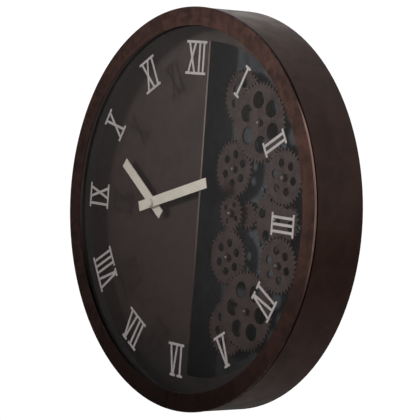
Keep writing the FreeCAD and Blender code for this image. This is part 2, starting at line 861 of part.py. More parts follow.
def movement_case():
    """Square moulded tray with the threaded bush that passes through the dial."""
    body = new_body("movement_case")
    half = "dims.movement_half"
    wall = "dims.movement_wall"
    box = new_sketch(body, "box")
    rectangle(box, f"-{half}", half, f"-{half}", half)
    pad(body, box, f"dims.movement_back - dims.movement_front - {wall}")
    bush = new_sketch(body, "bush", height="dims.movement_front - dims.bush_front")
    circle(bush, "0", "0", "dims.bush_radius")
    pad(body, bush, f"dims.movement_front - dims.bush_front + {wall}")
    doc.recompute()
    inside = new_sketch(body, "inside", height=f"-{wall}")
    rectangle(inside, f"{wall} - {half}", f"{half} - {wall}", f"{wall} - {half}", f"{half} - {wall}")
    cut(body, inside, "dims.movement_back - dims.movement_front")
    bore = new_sketch(body, "bore")
    circle(bore, "0", "0", "dims.hour_tube_radius + dims.running_gap")
    cut(body, bore)
    seat(body, "dims.dial_axis", "dims.movement_front")


def movement_cover():
    """Back plate with the battery window and the hole for the setting knob."""
    body = new_body("movement_cover")
    half = "dims.movement_half"
    plate = new_sketch(body, "plate")
    rectangle(plate, f"-{half}", half, f"-{half}", half)
    pad(body, plate, "dims.movement_wall")
    doc.recompute()
    openings = new_sketch(body, "openings")
    cell_half = "dims.cell_length / 2 + dims.cell_play"
    drop = "dims.movement_cell_drop"
    rectangle(openings, f"-({cell_half})", cell_half, f"-{drop} - dims.cell_radius",
              f"dims.cell_radius - {drop}")
    circle(openings, "0", "dims.motion_centre", KNOB_SHAFT_HOLE)
    cut(body, openings)
    seat(body, "dims.dial_axis", "dims.movement_back - dims.movement_wall")


KNOB_SHAFT = "dims.knob_shaft_radius"
KNOB_SHAFT_HOLE = f"{KNOB_SHAFT} + dims.running_gap"
FIRST_MODULE = "(2 * dims.motion_centre / (dims.cannon_teeth + dims.motion_teeth))"
SECOND_MODULE = "(2 * dims.motion_centre / (dims.motion_pinion_teeth + dims.hour_teeth))"


def motion_work():
    """Cannon pinion, motion wheel and hour wheel: twelve turns of one to one of the other."""
    plate = "dims.motion_plate"
    front = "dims.movement_front + dims.movement_wall + dims.motion_gap"
    hour = new_body("hour_wheel")
    toothed_disc(hour, "dims.hour_teeth", plate, SECOND_MODULE)
    tube_front = f"{front} - (dims.hour_hand_front - 1)"
    add_hub(hour, "dims.hour_tube_radius", tube_front, f"{tube_front} + {plate}")
    add_bore(hour, "dims.minute_shaft_radius + dims.running_gap")
    seat(hour, "dims.dial_axis", front)

    pinion = new_body("motion_pinion")
    toothed_disc(pinion, "dims.motion_pinion_teeth", "dims.motion_pinion_thickness", SECOND_MODULE)
    add_hub(pinion, KNOB_SHAFT, "0", f"dims.movement_back + dims.knob_gap + dims.knob_height - ({front})")
    turn = mesh_turn(value("dims.hour_teeth"), 0, value("dims.motion_pinion_teeth"), 90)
    seat(pinion, "dims.dial_axis", f"{front} - 0.2", "dims.motion_centre", turn)

    wheel_front = f"{front} + dims.motion_step"
    wheel = new_body("motion_wheel")
    toothed_disc(wheel, "dims.motion_teeth", plate, FIRST_MODULE)
    add_bore(wheel, KNOB_SHAFT)
    seat(wheel, "dims.dial_axis", wheel_front, "dims.motion_centre")

    cannon = new_body("minute_arbor")
    toothed_disc(cannon, "dims.cannon_teeth", f"{plate} + 0.8", FIRST_MODULE)
    cannon_front = f"{wheel_front} - 0.4"
    shaft_front = f"{cannon_front} - (dims.cap_front + dims.cap_crown)"
    add_hub(cannon, "dims.minute_shaft_radius", shaft_front, f"{shaft_front} + 6")
    turn = mesh_turn(value("dims.motion_teeth"), 0, value("dims.cannon_teeth"), -90)
    seat(cannon, "dims.dial_axis", cannon_front, "0", turn)


def movement_fittings():
    """Nut and washer on the bush, setting knob, coil and cell."""
    axis = "dims.dial_axis"
    tube("movement_washer", "dims.bush_radius", "dims.washer_radius",
         "dims.dial_front + dims.dial_thickness", "dims.movement_front", axis)
    nut = new_body("movement_nut")
    flats = new_sketch(nut, "flats")
    reach = "dims.nut_radius"
    outline(flats, [(f"{reach} * cos({angle} deg)", f"{reach} * sin({angle} deg)")
                    for angle in range(0, 360, 60)])
    pad(nut, flats, "dims.nut_height")
    doc.recompute()
    add_bore(nut, "dims.bush_radius")
    seat(nut, axis, "dims.dial_front - dims.nut_height")
    knob_front = "dims.movement_back + dims.knob_gap"
    tube("set_knob", KNOB_SHAFT, "dims.knob_radius", knob_front, f"{knob_front} + dims.knob_height", axis,
         "dims.motion_centre")
    flange = "dims.coil_radius"
    core = "dims.coil_core_radius"
    edge = "dims.coil_flange"
    end = "dims.coil_length"
    coil = turned("movement_coil", [
        ("0", "0"), (flange, "0"), (flange, edge), (core, edge), (core, f"{end} - {edge}"),
        (flange, f"{end} - {edge}"), (flange, end), ("0", end),
    ])
    seat(coil, f"dims.dial_axis - {end} / 2", "dims.movement_front + dims.coil_depth", "dims.coil_height",
         rotation=LYING_ALONG_X)
    cell = cell_body("movement_cell")
    seat(cell, "dims.dial_axis - dims.cell_length / 2", "dims.movement_back - 0.6 - dims.cell_radius",
         "-dims.movement_cell_drop", rotation=LYING_ALONG_X)


def cell_body(label):
    """A round cell with its raised contact at one end."""
    shoulder = "dims.cell_length - dims.cell_tip_height"
    return turned(label, [
        ("0", "0"), ("dims.cell_radius", "0"), ("dims.cell_radius", shoulder),
        ("dims.cell_tip_radius", shoulder), ("dims.cell_tip_radius", "dims.cell_length"),
        ("0", "dims.cell_length"),
    ])


# ---------------------------------------------------------------- gear train

FREE_BORE = "dims.stud_radius + dims.running_gap"
PRESSED_BORE = "dims.stud_radius"
HUB_REAR_END = "dims.board_front - dims.hub_gap"
LARGE_HOLES = (6, "dims.large_hole_circle", "dims.large_hole_radius")
MIDDLE_HOLES = (6, "dims.middle_hole_circle", "dims.middle_hole_radius")
SMALL_HOLES = (6, "dims.small_hole_circle", "dims.small_hole_radius")
MEDIUM_HOLES = (4, "dims.medium_hole_circle", "dims.medium_hole_radius")


def wheel(label, place, teeth, layer, rear_end, holes, turn, bore=FREE_BORE):
    """A flat toothed wheel with a ring of holes and a hub that reaches back to a depth."""
    body = new_body(label)
    toothed_disc(body, teeth, "dims.wheel_thickness")
    count, hole_circle, hole_radius = holes
    first_angle = value(f"dims.{label}_hole") - turn
    add_lightening_holes(body, count, hole_circle, hole_radius, first_angle)
    add_hub(body, "dims.hub_radius", "dims.hub_front", f"dims.hub_front + {rear_end} - {layer}")
    add_bore(body, bore)
    seat(body, place[0], layer, place[1], turn)


def pinion_front(layer):
    """Front of a pinion that overlaps both faces of the wheels of a layer."""
    return f"{layer} - (dims.pinion_thickness - dims.wheel_thickness) / 2"


def pinion(label, place, teeth, layer, turn):
    """A toothed pinion whose hub reaches back to the board."""
    body = new_body(label)
    front = pinion_front(layer)
    toothed_disc(body, teeth, "dims.pinion_thickness")
    add_hub(body, "dims.hub_radius", "0", f"{HUB_REAR_END} - ({front})")
    add_bore(body, FREE_BORE)
    seat(body, place[0], front, place[1], turn)


def upper_and_lower_trains():
    """Large, right-hand and end wheels above and below the middle line."""
    middle_turn = mesh_turn(LINK, 0, MIDDLE, angle_between(RIGHT_UPPER, MIDDLE_LARGE))
    lower = [mirrored(place) for place in (LARGE_UPPER, RIGHT_UPPER, END_UPPER)]
    front = "dims.front_layer"
    middle = "dims.middle_layer"
    rear = "dims.rear_layer"
    for side, (large, right, end) in (("upper", (LARGE_UPPER, RIGHT_UPPER, END_UPPER)), ("lower", lower)):
        wheel(f"{side}_large_gear", large, "dims.large_teeth", front, pinion_front(middle), LARGE_HOLES, 0.0)
        pinion(f"{side}_link_pinion", large, "dims.link_teeth", middle, 0.0)
        right_turn = mesh_turn(LARGE, 0, SMALL, angle_between(large, right))
        wheel(f"{side}_right_gear", right, "dims.small_teeth", front, pinion_front(rear), SMALL_HOLES,
              right_turn)
        pinion_turn = mesh_turn(MIDDLE, middle_turn, LINK, angle_between(MIDDLE_LARGE, right))
        pinion(f"{side}_right_pinion", right, "dims.link_teeth", rear, pinion_turn)
        end_turn = mesh_turn(LINK, 0, SMALL, angle_between(large, end))
        wheel(f"{side}_end_gear", end, "dims.small_teeth", middle, HUB_REAR_END, SMALL_HOLES, end_turn)
    wheel("middle_large_gear", MIDDLE_LARGE, "dims.middle_teeth", rear, HUB_REAR_END, MIDDLE_HOLES,
          middle_turn)
    drive_turn = mesh_turn(MIDDLE, middle_turn, DRIVE, 180)
    drive_pinion(drive_turn)


def left_column():
    """The three wheels of the left-hand column and the shaft that drives them."""
    middle = "dims.middle_layer"
    wheel("left_middle_gear", LEFT_CENTRE, "dims.medium_teeth", middle, f"{middle} + dims.wheel_thickness",
          MEDIUM_HOLES, 0.0, PRESSED_BORE)
    for side, place, direction in (("upper", LEFT_UPPER, 90), ("lower", mirrored(LEFT_UPPER), -90)):
        wheel(f"{side}_left_gear", place, "dims.small_teeth", middle, HUB_REAR_END, SMALL_HOLES,
              mesh_turn(MEDIUM, 0, SMALL, direction))
    tip = f"{middle} - dims.hub_front - dims.stud_reach"
    shaft = "dims.stud_radius"
    chamfer = "dims.stud_chamfer"
    shoulder = "dims.shaft_shoulder_radius"
    shoulder_front = f"{tip} - ({HUB_REAR_END} - dims.shaft_shoulder_length)"
    shoulder_back = f"{tip} - ({HUB_REAR_END})"
    end = f"{tip} - ({TRANSFER_FRONT} + dims.transfer_thickness + dims.hub_gap)"
    turned("left_middle_shaft", [
        ("0", "0"), (f"{shaft} - {chamfer}", "0"), (shaft, f"-{chamfer}"), (shaft, shoulder_front),
        (shoulder, shoulder_front), (shoulder, shoulder_back), (shaft, shoulder_back), (shaft, end),
        ("0", end),
    ], tip, LEFT_CENTRE[0])
    tube("left_middle_collar", shaft, "dims.collar_radius", collar_front(middle),
         f"{collar_front(middle)} + dims.collar_length", LEFT_CENTRE[0])


def drive_pinion(turn):
    """Small pinion cut in one piece with the shaft that turns the whole train."""
    body = new_body("drive_pinion")
    front = pinion_front("dims.rear_layer")
    toothed_disc(body, "dims.drive_teeth", "dims.pinion_thickness")
    shoulder = new_sketch(body, "shoulder")
    circle(shoulder, "0", "0", "dims.shaft_shoulder_radius")
    pad(body, shoulder, f"{HUB_REAR_END} - ({front})")
    add_hub(body, "dims.stud_radius", "1", f"dims.gearmotor_front + dims.gearmotor_grip - ({front})")
    seat(body, DRIVE_CENTRE[0], front, "0", turn)


def collar_front(layer):
    """Front of the push-on collar that keeps the wheel of a layer on its stud."""
    return f"{layer} - dims.hub_front - dims.collar_play - dims.collar_length"


def stud_solid(place, layer):
    """A stud with a chamfered tip, long enough for the wheels of a layer."""
    radius = value("dims.stud_radius")
    tip = value(f"{layer} - dims.hub_front - dims.stud_reach")
    back = value("dims.board_front + dims.board_thickness + dims.stud_nut_height + 0.8")
    chamfer = value("dims.stud_chamfer")
    point = Part.makeCone(radius, radius - chamfer, chamfer, Vector(place[0], place[1], -tip - chamfer))
    return rod(*place, radius, tip + chamfer, back).fuse(point).removeSplitter()


def studs():
    """Fixed studs of three lengths, the nuts behind the board and the collars in front."""
    kinds = (("long_gear_studs", FRONT_STUDS, "dims.front_layer"),
             ("medium_gear_studs", MIDDLE_STUDS, "dims.middle_layer"),
             ("short_gear_stud", REAR_STUDS, "dims.rear_layer"))
    nuts = []
    collars = []
    radius = value("dims.stud_radius")
    board_back = value("dims.board_front + dims.board_thickness")
    nut_end = board_back + value("dims.stud_nut_height")
    for label, places, layer in kinds:
        group(label, [stud_solid(place, layer) for place in places])
        front = value(collar_front(layer))
        back = front + value("dims.collar_length")
        for x, z in places:
            corners = [(x + dx, z + dz) for dx, dz in
                       (on_circle(value("dims.stud_nut_radius"), 60 * corner) for corner in range(6))]
            nuts.append(prism(corners, board_back, nut_end).cut(rod(x, z, radius, board_back, nut_end)))
            collar = rod(x, z, value("dims.collar_radius"), front, back)
            collars.append(collar.cut(rod(x, z, radius, front, back)))
    group("stud_nuts", nuts)
    group("stud_collars", collars)


# ---------------------------------------------------------------- gear drive

TRANSFER_FRONT = "(dims.board_front + dims.board_thickness + dims.drive_wall + dims.transfer_gap)"
TRANSFER_MODULE = "(dims.transfer_centre / dims.transfer_teeth)"


def drive_screw_places():
    """Corners of the gear drive where its screws stand."""
    inset = value("dims.drive_screw_x_inset")
    height = value("dims.drive_screw_height")
    columns = (value("dims.drive_left") + inset, value("dims.drive_right") - inset)
    return [(x, side * height) for x in columns for side in (-1, 1)]


def drive_housing():
    """Moulded tray behind the board, open at the back, with four screw bosses."""
    body = new_body("drive_housing")
    wall = "dims.drive_wall"
    half = "dims.drive_half_height"
    deep = "dims.drive_back - dims.board_front - dims.board_thickness - dims.drive_wall"
    box = new_sketch(body, "box")
    rectangle(box, "dims.drive_left", "dims.drive_right", f"-{half}", half)
    pad(body, box, deep)
    doc.recompute()
    inside = new_sketch(body, "inside", height=f"-{wall}")
    rectangle(inside, f"dims.drive_left + {wall}", f"dims.drive_right - {wall}", f"{wall} - {half}",
              f"{half} - {wall}")
    cut(body, inside, deep)
    bosses = new_sketch(body, "bosses")
    for x, z in drive_screw_places():
        circle(bosses, x, z, "dims.screw_radius + dims.drive_boss_wall")
    pad(body, bosses, deep)
    doc.recompute()
    holes = new_sketch(body, "holes")
    for x, z in drive_screw_places():
        circle(holes, x, z, "dims.screw_radius")
    for x, z in (LEFT_CENTRE, DRIVE_CENTRE):
        circle(holes, x, z, FREE_BORE)
    cut(body, holes)
    seat(body, depth="dims.board_front + dims.board_thickness")


def drive_cover():
    """Back plate of the gear drive with the cell window and the switch slot."""
    body = new_body("drive_cover")
    half = "dims.drive_half_height"
    plate = new_sketch(body, "plate")
    rectangle(plate, "dims.drive_left", "dims.drive_right", f"-{half}", half)
    pad(body, plate, "dims.drive_wall")
    doc.recompute()
    openings = new_sketch(body, "openings")
    window_half = "dims.cell_length / 2 + dims.cell_play"
    rectangle(openings, "dims.drive_cell_axis - dims.cell_radius - 0.2",
              "dims.drive_cell_axis + dims.cell_radius + 0.2", f"-({window_half})", window_half)
    play = "dims.switch_half + dims.switch_play"
    rectangle(openings, f"dims.switch_axis - ({play})", f"dims.switch_axis + {play}", f"-({play})",
              f"{play} + dims.switch_travel")
    for x, z in drive_screw_places():
        circle(openings, x, z, "dims.screw_radius")
    cut(body, openings)
    seat(body, depth="dims.drive_back - dims.drive_wall")


def drive_switch():
    """Slide button with the plate that keeps it behind the cover."""
    body = new_body("drive_switch")
    half = "dims.switch_half"
    plate = new_sketch(body, "plate")
    lap = "dims.switch_plate"
    rectangle(plate, f"-{half} - {lap} * 2 / 3", f"{half} + {lap} * 2 / 3", f"-{half} - {lap}",
              f"{half} + {lap}")
    pad(body, plate, lap)
    button = new_sketch(body, "button")
    rectangle(button, f"-{half}", half, f"-{half}", half)
    pad(body, button, "dims.drive_wall + dims.switch_button")
    seat(body, "dims.switch_axis", "dims.drive_back - dims.drive_wall - 2")


def drive_fittings():
    """Geared motor, transfer gears, cell and screws of the gear drive."""
    tube("drive_gearmotor", FREE_BORE, "dims.gearmotor_radius", "dims.gearmotor_front",
         "dims.gearmotor_back", DRIVE_CENTRE[0])
    teeth = value("dims.transfer_teeth")
    for label, place, turn in (("transfer_gear_left", LEFT_CENTRE, 0.0),
                               ("transfer_gear_right", DRIVE_CENTRE, mesh_turn(teeth, 0, teeth, 0))):
        gear = new_body(label)
        toothed_disc(gear, "dims.transfer_teeth", "dims.transfer_thickness", TRANSFER_MODULE)
        add_bore(gear, PRESSED_BORE)
        seat(gear, place[0], TRANSFER_FRONT, "0", turn)
    cell = cell_body("drive_cell")
    floor = "dims.board_front + dims.board_thickness + dims.drive_wall"
    seat(cell, "dims.drive_cell_axis", f"{floor} + dims.cell_radius + 0.1", "-dims.cell_length / 2",
         rotation=STANDING_ALONG_Z)
    board_front = value("dims.board_front")
    cover_back = value("dims.drive_back")
    head = value("dims.screw_head_height")
    head_radius = value("dims.screw_head_radius")
    shank = value("dims.screw_radius")
    length = value("dims.drive_screw_length")
    mounting = []
    closing = []
    for x, z in drive_screw_places():
        mounting.append(rod(x, z, head_radius, board_front - head, board_front)
                        .fuse(rod(x, z, shank, board_front - head, board_front + length)))
        closing.append(rod(x, z, head_radius, cover_back, cover_back + head)
                       .fuse(rod(x, z, shank, cover_back - length, cover_back + head)))
    group("drive_mounting_screws", mounting)
    group("drive_cover_screws", closing)


# ---------------------------------------------------------------- assembly

def check_document():
    """Stop if any feature failed or any sub-part is empty or invalid."""
    for item in doc.Objects:
        if "Invalid" in item.State or "Error" in item.State:
            raise RuntimeError(f"{item.Name}: {item.State}")
    for piece in sub_parts:
        if piece.Shape.isNull() or not piece.Shape.isValid() or not piece.Shape.Solids:
            raise RuntimeError(f"{piece.Label} has no valid solid")


case_shell()
bezel_ring()
glazing()
hour_numerals()
dial_panel()
gear_board()
board_brackets()
wall_bumpers()
hanger()
hands()
movement_case()
movement_cover()
motion_work()
movement_fittings()
upper_and_lower_trains()
left_column()
studs()
drive_housing()
drive_cover()
drive_switch()
drive_fittings()
tube("rear_spacer_ring", "dims.rear_ring_inner", "dims.rear_ring_inner + dims.rear_ring_wall",
     "dims.dial_front + dims.dial_thickness", "dims.board_front")

doc.recompute()
check_document()
os.makedirs("parts", exist_ok=True)
for piece in sub_parts:
    piece.Shape.exportStep(f"parts/{piece.Label}.step")
    print(f"{piece.Label}: {len(piece.Shape.Solids)} solids, {piece.Shape.Volume:.0f} cubic mm")
print(f"{len(sub_parts)} sub-parts")
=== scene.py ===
import json
import math

import bpy
from mathutils import Matrix, Vector


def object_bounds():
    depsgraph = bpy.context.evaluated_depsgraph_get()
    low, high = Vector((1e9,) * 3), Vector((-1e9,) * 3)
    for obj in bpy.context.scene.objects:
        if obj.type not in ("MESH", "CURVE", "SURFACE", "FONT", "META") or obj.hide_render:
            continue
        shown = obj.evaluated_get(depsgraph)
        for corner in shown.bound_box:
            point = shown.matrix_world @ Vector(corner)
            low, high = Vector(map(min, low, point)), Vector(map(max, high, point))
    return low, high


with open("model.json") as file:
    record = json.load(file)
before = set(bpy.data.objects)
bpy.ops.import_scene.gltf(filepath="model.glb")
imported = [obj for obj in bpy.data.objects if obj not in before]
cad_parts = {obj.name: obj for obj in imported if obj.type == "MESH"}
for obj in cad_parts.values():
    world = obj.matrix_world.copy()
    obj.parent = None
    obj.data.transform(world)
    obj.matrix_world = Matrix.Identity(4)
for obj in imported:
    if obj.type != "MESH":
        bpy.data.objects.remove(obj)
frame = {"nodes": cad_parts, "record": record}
cad_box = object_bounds()

MM = 0.001
lowest, highest = cad_box
CASE_RADIUS = highest[0]
FRONT = lowest[1]


# ---------------------------------------------------------------- node graphs

MIX_FIRST = 6
MIX_SECOND = 7
MIX_RESULT = 2
NOISE_ROUGHNESS = 0.55

# How far a rounded normal agrees with the face's own, as a cosine.
FLAT_FACE = 0.995
SHARP_EDGE = 0.8


class Nodes:
    """A node tree, with short calls for the nodes that the finishes and the world share."""

    def __init__(self, tree):
        self.tree = tree
        self.tree.nodes.clear()

    def add(self, kind, **settings):
        node = self.tree.nodes.new(kind)
        for key, setting in settings.items():
            setattr(node, key, setting)
        return node

    def link(self, source, target):
        self.tree.links.new(source, target)

    def feed(self, target, source):
        """Sets an input from a socket or from a plain value."""
        if isinstance(source, bpy.types.NodeSocket):
            self.link(source, target)
        else:
            target.default_value = source

    def span(self, source, low, high, to_low=0.0, to_high=1.0, shape="SMOOTHSTEP"):
        """Carries low..high to to_low..to_high, clamped."""
        node = self.add("ShaderNodeMapRange", interpolation_type=shape)
        self.feed(node.inputs["Value"], source)
        node.inputs["From Min"].default_value = low
        node.inputs["From Max"].default_value = high
        node.inputs["To Min"].default_value = to_low
        node.inputs["To Max"].default_value = to_high
        return node.outputs["Result"]

    def math(self, operation, first, second):
        node = self.add("ShaderNodeMath", operation=operation)
        self.feed(node.inputs[0], first)
        self.feed(node.inputs[1], second)
        return node.outputs[0]

    def component(self, source, axis):
        """The X, Y or Z of a vector."""
        split = self.add("ShaderNodeSeparateXYZ")
        self.link(source, split.inputs[0])
        return split.outputs[axis]


class Finish(Nodes):
    """A material's node tree, around one Principled shader."""

    def __init__(self, name):
        self.material = bpy.data.materials.new(name)
        self.material.use_nodes = True
        super().__init__(self.material.node_tree)
        self.output = self.add("ShaderNodeOutputMaterial")
        self.shader = self.add("ShaderNodeBsdfPrincipled")
        self.link(self.shader.outputs[0], self.output.inputs["Surface"])
        self.place = self.add("ShaderNodeTexCoord").outputs["Object"]

    def set(self, **sockets):
        for key, source in sockets.items():
            self.feed(self.shader.inputs[key.replace("_", " ")], source)

    def grain(self, size, detail=4.0, stretch=(1, 1, 1), warp=0.0, shift=0.0):
        """Noise with features about `size` millimetres across, from 0 to 1. `shift` keeps layers apart."""
        mapping = self.add("ShaderNodeMapping")
        self.link(self.place, mapping.inputs["Vector"])
        mapping.inputs["Scale"].default_value = [1 / (MM * size * along) for along in stretch]
        mapping.inputs["Location"].default_value = (shift, shift * 0.7, -shift)
        noise = self.add("ShaderNodeTexNoise")
        noise.inputs["Scale"].default_value = 1.0
        noise.inputs["Detail"].default_value = detail
        noise.inputs["Roughness"].default_value = NOISE_ROUGHNESS
        noise.inputs["Distortion"].default_value = warp
        self.link(mapping.outputs[0], noise.inputs["Vector"])
        return noise.outputs["Fac"]

    def along(self, axis):
        """Position along X, Y or Z, in metres."""
        return self.component(self.place, axis)

    def radius(self):
        """Distance from the case's axis, in metres."""
        flat = self.add("ShaderNodeVectorMath", operation="MULTIPLY")
        self.link(self.place, flat.inputs[0])
        flat.inputs[1].default_value = (1, 0, 1)
        length = self.add("ShaderNodeVectorMath", operation="LENGTH")
        self.link(flat.outputs[0], length.inputs[0])
        return length.outputs["Value"]

    def mix(self, amount, first, second):
        """Colour `first` turning into `second`."""
        node = self.add("ShaderNodeMix", data_type="RGBA")
        self.feed(node.inputs["Factor"], amount)
        self.feed(node.inputs[MIX_FIRST], first)
        self.feed(node.inputs[MIX_SECOND], second)
        return node.outputs[MIX_RESULT]

    def rounded(self, radius, samples):
        """The normal that the surface would have with its edges rounded by `radius` millimetres."""
        bevel = self.add("ShaderNodeBevel", samples=samples)
        bevel.inputs["Radius"].default_value = radius * MM
        return bevel.outputs[0]

    def edges(self, radius):
        """About 1 along sharp edges and 0 on flat faces, within `radius` millimetres."""
        agreement = self.add("ShaderNodeVectorMath", operation="DOT_PRODUCT")
        self.link(self.rounded(radius, samples=6), agreement.inputs[0])
        self.link(self.add("ShaderNodeNewGeometry").outputs["Normal"], agreement.inputs[1])
        return self.span(agreement.outputs["Value"], FLAT_FACE, SHARP_EDGE)

    def bump(self, height, depth, soft):
        """Raises the surface by `depth` millimetres where `height` is 1, over edges rounded by `soft`."""
        node = self.add("ShaderNodeBump")
        node.inputs["Distance"].default_value = depth * MM
        self.link(height, node.inputs["Height"])
        self.link(self.rounded(soft, samples=4), node.inputs["Normal"])
        self.link(node.outputs[0], self.shader.inputs["Normal"])


def rgb(red, green, blue):
    """A colour given as it looks on a screen, 0 to 255, as linear light."""
    def linear(byte):
        share = byte / 255
        return share / 12.92 if share <= 0.04045 else ((share + 0.055) / 1.055) ** 2.4
    return (linear(red), linear(green), linear(blue), 1.0)


# ---------------------------------------------------------------- paint

CLOUDS = (0.33, 0.68)
MOTTLES = (0.38, 0.66)
MOTTLE_SHARE = 0.55
SPECKS = (0.62, 0.72)
SPECK_SIZE = 0.9
SPECK_SHARE = 0.25
RUBBED = (0.35, 0.6)
RUBBED_SIZE = 14
LEAST_RUBBED = 0.15
PEEL_SIZE = 0.7


def paint(name, dark, base, light, cloud=60, mottle=9, rough=(0.3, 0.42), peel=0.008, soft=0.35,
          worn=None, edge=0.5, specular=0.3, metal=0.0, marks=None):
    """Sprayed and hand-rubbed paint: clouds, small mottles, a fine orange peel and rubbed edges.

    `worn` is the colour of the edges, and `marks` a function that paints what belongs to one place."""
    finish = Finish(name)
    clouds = finish.span(finish.grain(cloud, 5, warp=1.2), *CLOUDS)
    mottles = finish.span(finish.grain(mottle, 6, warp=0.6, shift=7), *MOTTLES)
    specks = finish.span(finish.grain(SPECK_SIZE, 2, shift=3), *SPECKS)
    colour = finish.mix(clouds, dark, base)
    colour = finish.mix(finish.math("MULTIPLY", mottles, MOTTLE_SHARE), colour, light)
    colour = finish.mix(finish.math("MULTIPLY", specks, SPECK_SHARE), colour, dark)
    if worn is not None:
        uneven = finish.span(finish.grain(RUBBED_SIZE, 5, shift=5), *RUBBED, LEAST_RUBBED)
        colour = finish.mix(finish.math("MULTIPLY", finish.edges(edge), uneven), colour, worn)
    if marks is not None:
        colour = marks(finish, colour)
    smoothest, roughest = rough
    finish.set(Base_Color=colour, Specular_IOR_Level=specular, Metallic=metal)
    finish.set(Roughness=finish.span(mottles, 0, 1, roughest, smoothest))
    finish.bump(finish.grain(PEEL_SIZE, 3, shift=11), peel, soft)
    return finish.material


# Marks are placed by X, Y and Z from the case's middle, or by distance from its axis.

# Painted deep shade, nearly black: low on the bezel, on its inner wall and in its joint with the drum.
PAINTED_DEEP_SHADE = rgb(12, 10, 9)
# Painted shade for the bottom of the dial and the board.
SHADE = rgb(30, 29, 28)
# A painted highlight for the bezel's outer rim.
PAINTED_RIM_HIGHLIGHT = rgb(190, 158, 148)
FIBRE = rgb(236, 220, 212)
# Painted light for the upper left of the bezel's inner wall.
INNER_WALL_PAINTED_LIGHT = rgb(140, 132, 128)

# Heights between which the bezel, dial and board are painted darker as shade, and how much darker.
BEZEL_PAINTED_SHADE = (-130 * MM, -220 * MM)
BEZEL_PAINTED_SHADE_SHARE = 0.5
DIAL_PAINTED_SHADE = (-130 * MM, -200 * MM)
DIAL_PAINTED_SHADE_SHARE = 0.8
BOARD_PAINTED_SHADE = (-60 * MM, -190 * MM)
BOARD_PAINTED_SHADE_SHARE = 0.8

# Where the rim gets its painted highlight: a band of radius, between RIM_TOP and RIM_BOTTOM in height.
RIM = (CASE_RADIUS - 1.5 * MM, CASE_RADIUS - 0.7 * MM)
RIM_TOP = (145 * MM, 105 * MM)
RIM_BOTTOM = (-100 * MM, 0.0)
# The bezel's inner wall is painted dark as shade, and lighter on its upper left as painted light.
WALL_RADIUS = CASE_RADIUS - 20.9 * MM
WALL_FRONT = FRONT + 0.5 * MM
WALL_LIT_ACROSS = (0.0, -80 * MM)
WALL_LIT_UP = (-120 * MM, 30 * MM)
# The bezel's joint with the drum, and the drum's front edge up to DRUM_JOINT, are painted black as shade.
JOINT_RADIUS = CASE_RADIUS - 6.5 * MM
JOINT_CLIMB = (105 * MM, 145 * MM)
JOINT_LOW = FRONT + 1.7 * MM
JOINT_HIGH = FRONT + 0.6 * MM
DRUM_JOINT = FRONT + 4.0 * MM

FACES_RIGHT = (0.6, 0.9)
BARE_HEIGHT = (-140 * MM, 120 * MM)
FIBRE_SIZE = 0.4
FIBRE_STREAKS = (0.2, 0.7)
FIBRE_SHARE = (0.6, 1.0)


def painted_shade_low(finish, colour, stain_and_shade, heights, share):
    """Painted shade low on the clock: none above the first height and full below the second."""
    unshaded_above, fully_shaded_below = heights
    low = finish.span(finish.along("Z"), unshaded_above, fully_shaded_below, 0.0, share)
    return finish.mix(low, colour, stain_and_shade)


def bezel_marks(finish, colour):
    """A painted highlight on the rim at mid height, painted light on the upper left of the inner wall, and
    painted shade.

    The painted shade lies low on the ring, on the rest of the inner wall and in the joint with the drum."""
    height = finish.along("Z")
    # Painted shade low on the bezel.
    colour = painted_shade_low(finish, colour, PAINTED_DEEP_SHADE, BEZEL_PAINTED_SHADE, BEZEL_PAINTED_SHADE_SHARE)

    # Painted highlight along the rim at mid height.
    mid_height = finish.math("MULTIPLY", finish.span(height, *RIM_TOP), finish.span(height, *RIM_BOTTOM))
    rim = finish.math("MULTIPLY", finish.span(finish.radius(), *RIM), mid_height)
    colour = finish.mix(rim, colour, PAINTED_RIM_HIGHLIGHT)

    # The inner wall: painted shade, with painted light on its upper left.
    wall = finish.math("MULTIPLY", finish.math("LESS_THAN", finish.radius(), WALL_RADIUS),
                       finish.math("GREATER_THAN", finish.along("Y"), WALL_FRONT))
    upper_left = finish.math("MULTIPLY", finish.span(finish.along("X"), *WALL_LIT_ACROSS),
                             finish.span(height, *WALL_LIT_UP))
    colour = finish.mix(wall, colour, finish.mix(upper_left, PAINTED_DEEP_SHADE, INNER_WALL_PAINTED_LIGHT))

    # Painted shade in the joint with the drum.
    joint_front = finish.span(height, *JOINT_CLIMB, JOINT_LOW, JOINT_HIGH)
    joint = finish.math("MULTIPLY", finish.math("GREATER_THAN", finish.along("Y"), joint_front),
                        finish.math("GREATER_THAN", finish.radius(), JOINT_RADIUS))
    return finish.mix(joint, colour, PAINTED_DEEP_SHADE)


def case_marks(finish, colour):
    """Painted shade on the drum's front edge, in the joint with the bezel."""
    return finish.mix(finish.math("LESS_THAN", finish.along("Y"), DRUM_JOINT), colour, PAINTED_DEEP_SHADE)


def dial_marks(finish, colour):
    """Bare fibres on the cut edge that looks to the right, and painted shade towards the bottom."""
    # Painted shade low on the dial.
    colour = painted_shade_low(finish, colour, SHADE, DIAL_PAINTED_SHADE, DIAL_PAINTED_SHADE_SHARE)
    facing_right = finish.component(finish.add("ShaderNodeTexCoord").outputs["Normal"], "X")
    bare = finish.math("MULTIPLY", finish.span(facing_right, *FACES_RIGHT),
                       finish.span(finish.along("Z"), *BARE_HEIGHT))
    fibres = finish.grain(FIBRE_SIZE, 3, stretch=(1, 1, 8))
    streaks = finish.span(fibres, *FIBRE_STREAKS, *FIBRE_SHARE)
    return finish.mix(finish.math("MULTIPLY", bare, streaks), colour, FIBRE)


def board_marks(finish, colour):
    """Painted shade towards the bottom."""
    return painted_shade_low(finish, colour, SHADE, BOARD_PAINTED_SHADE, BOARD_PAINTED_SHADE_SHARE)


# ---------------------------------------------------------------- metal, plastic and glass

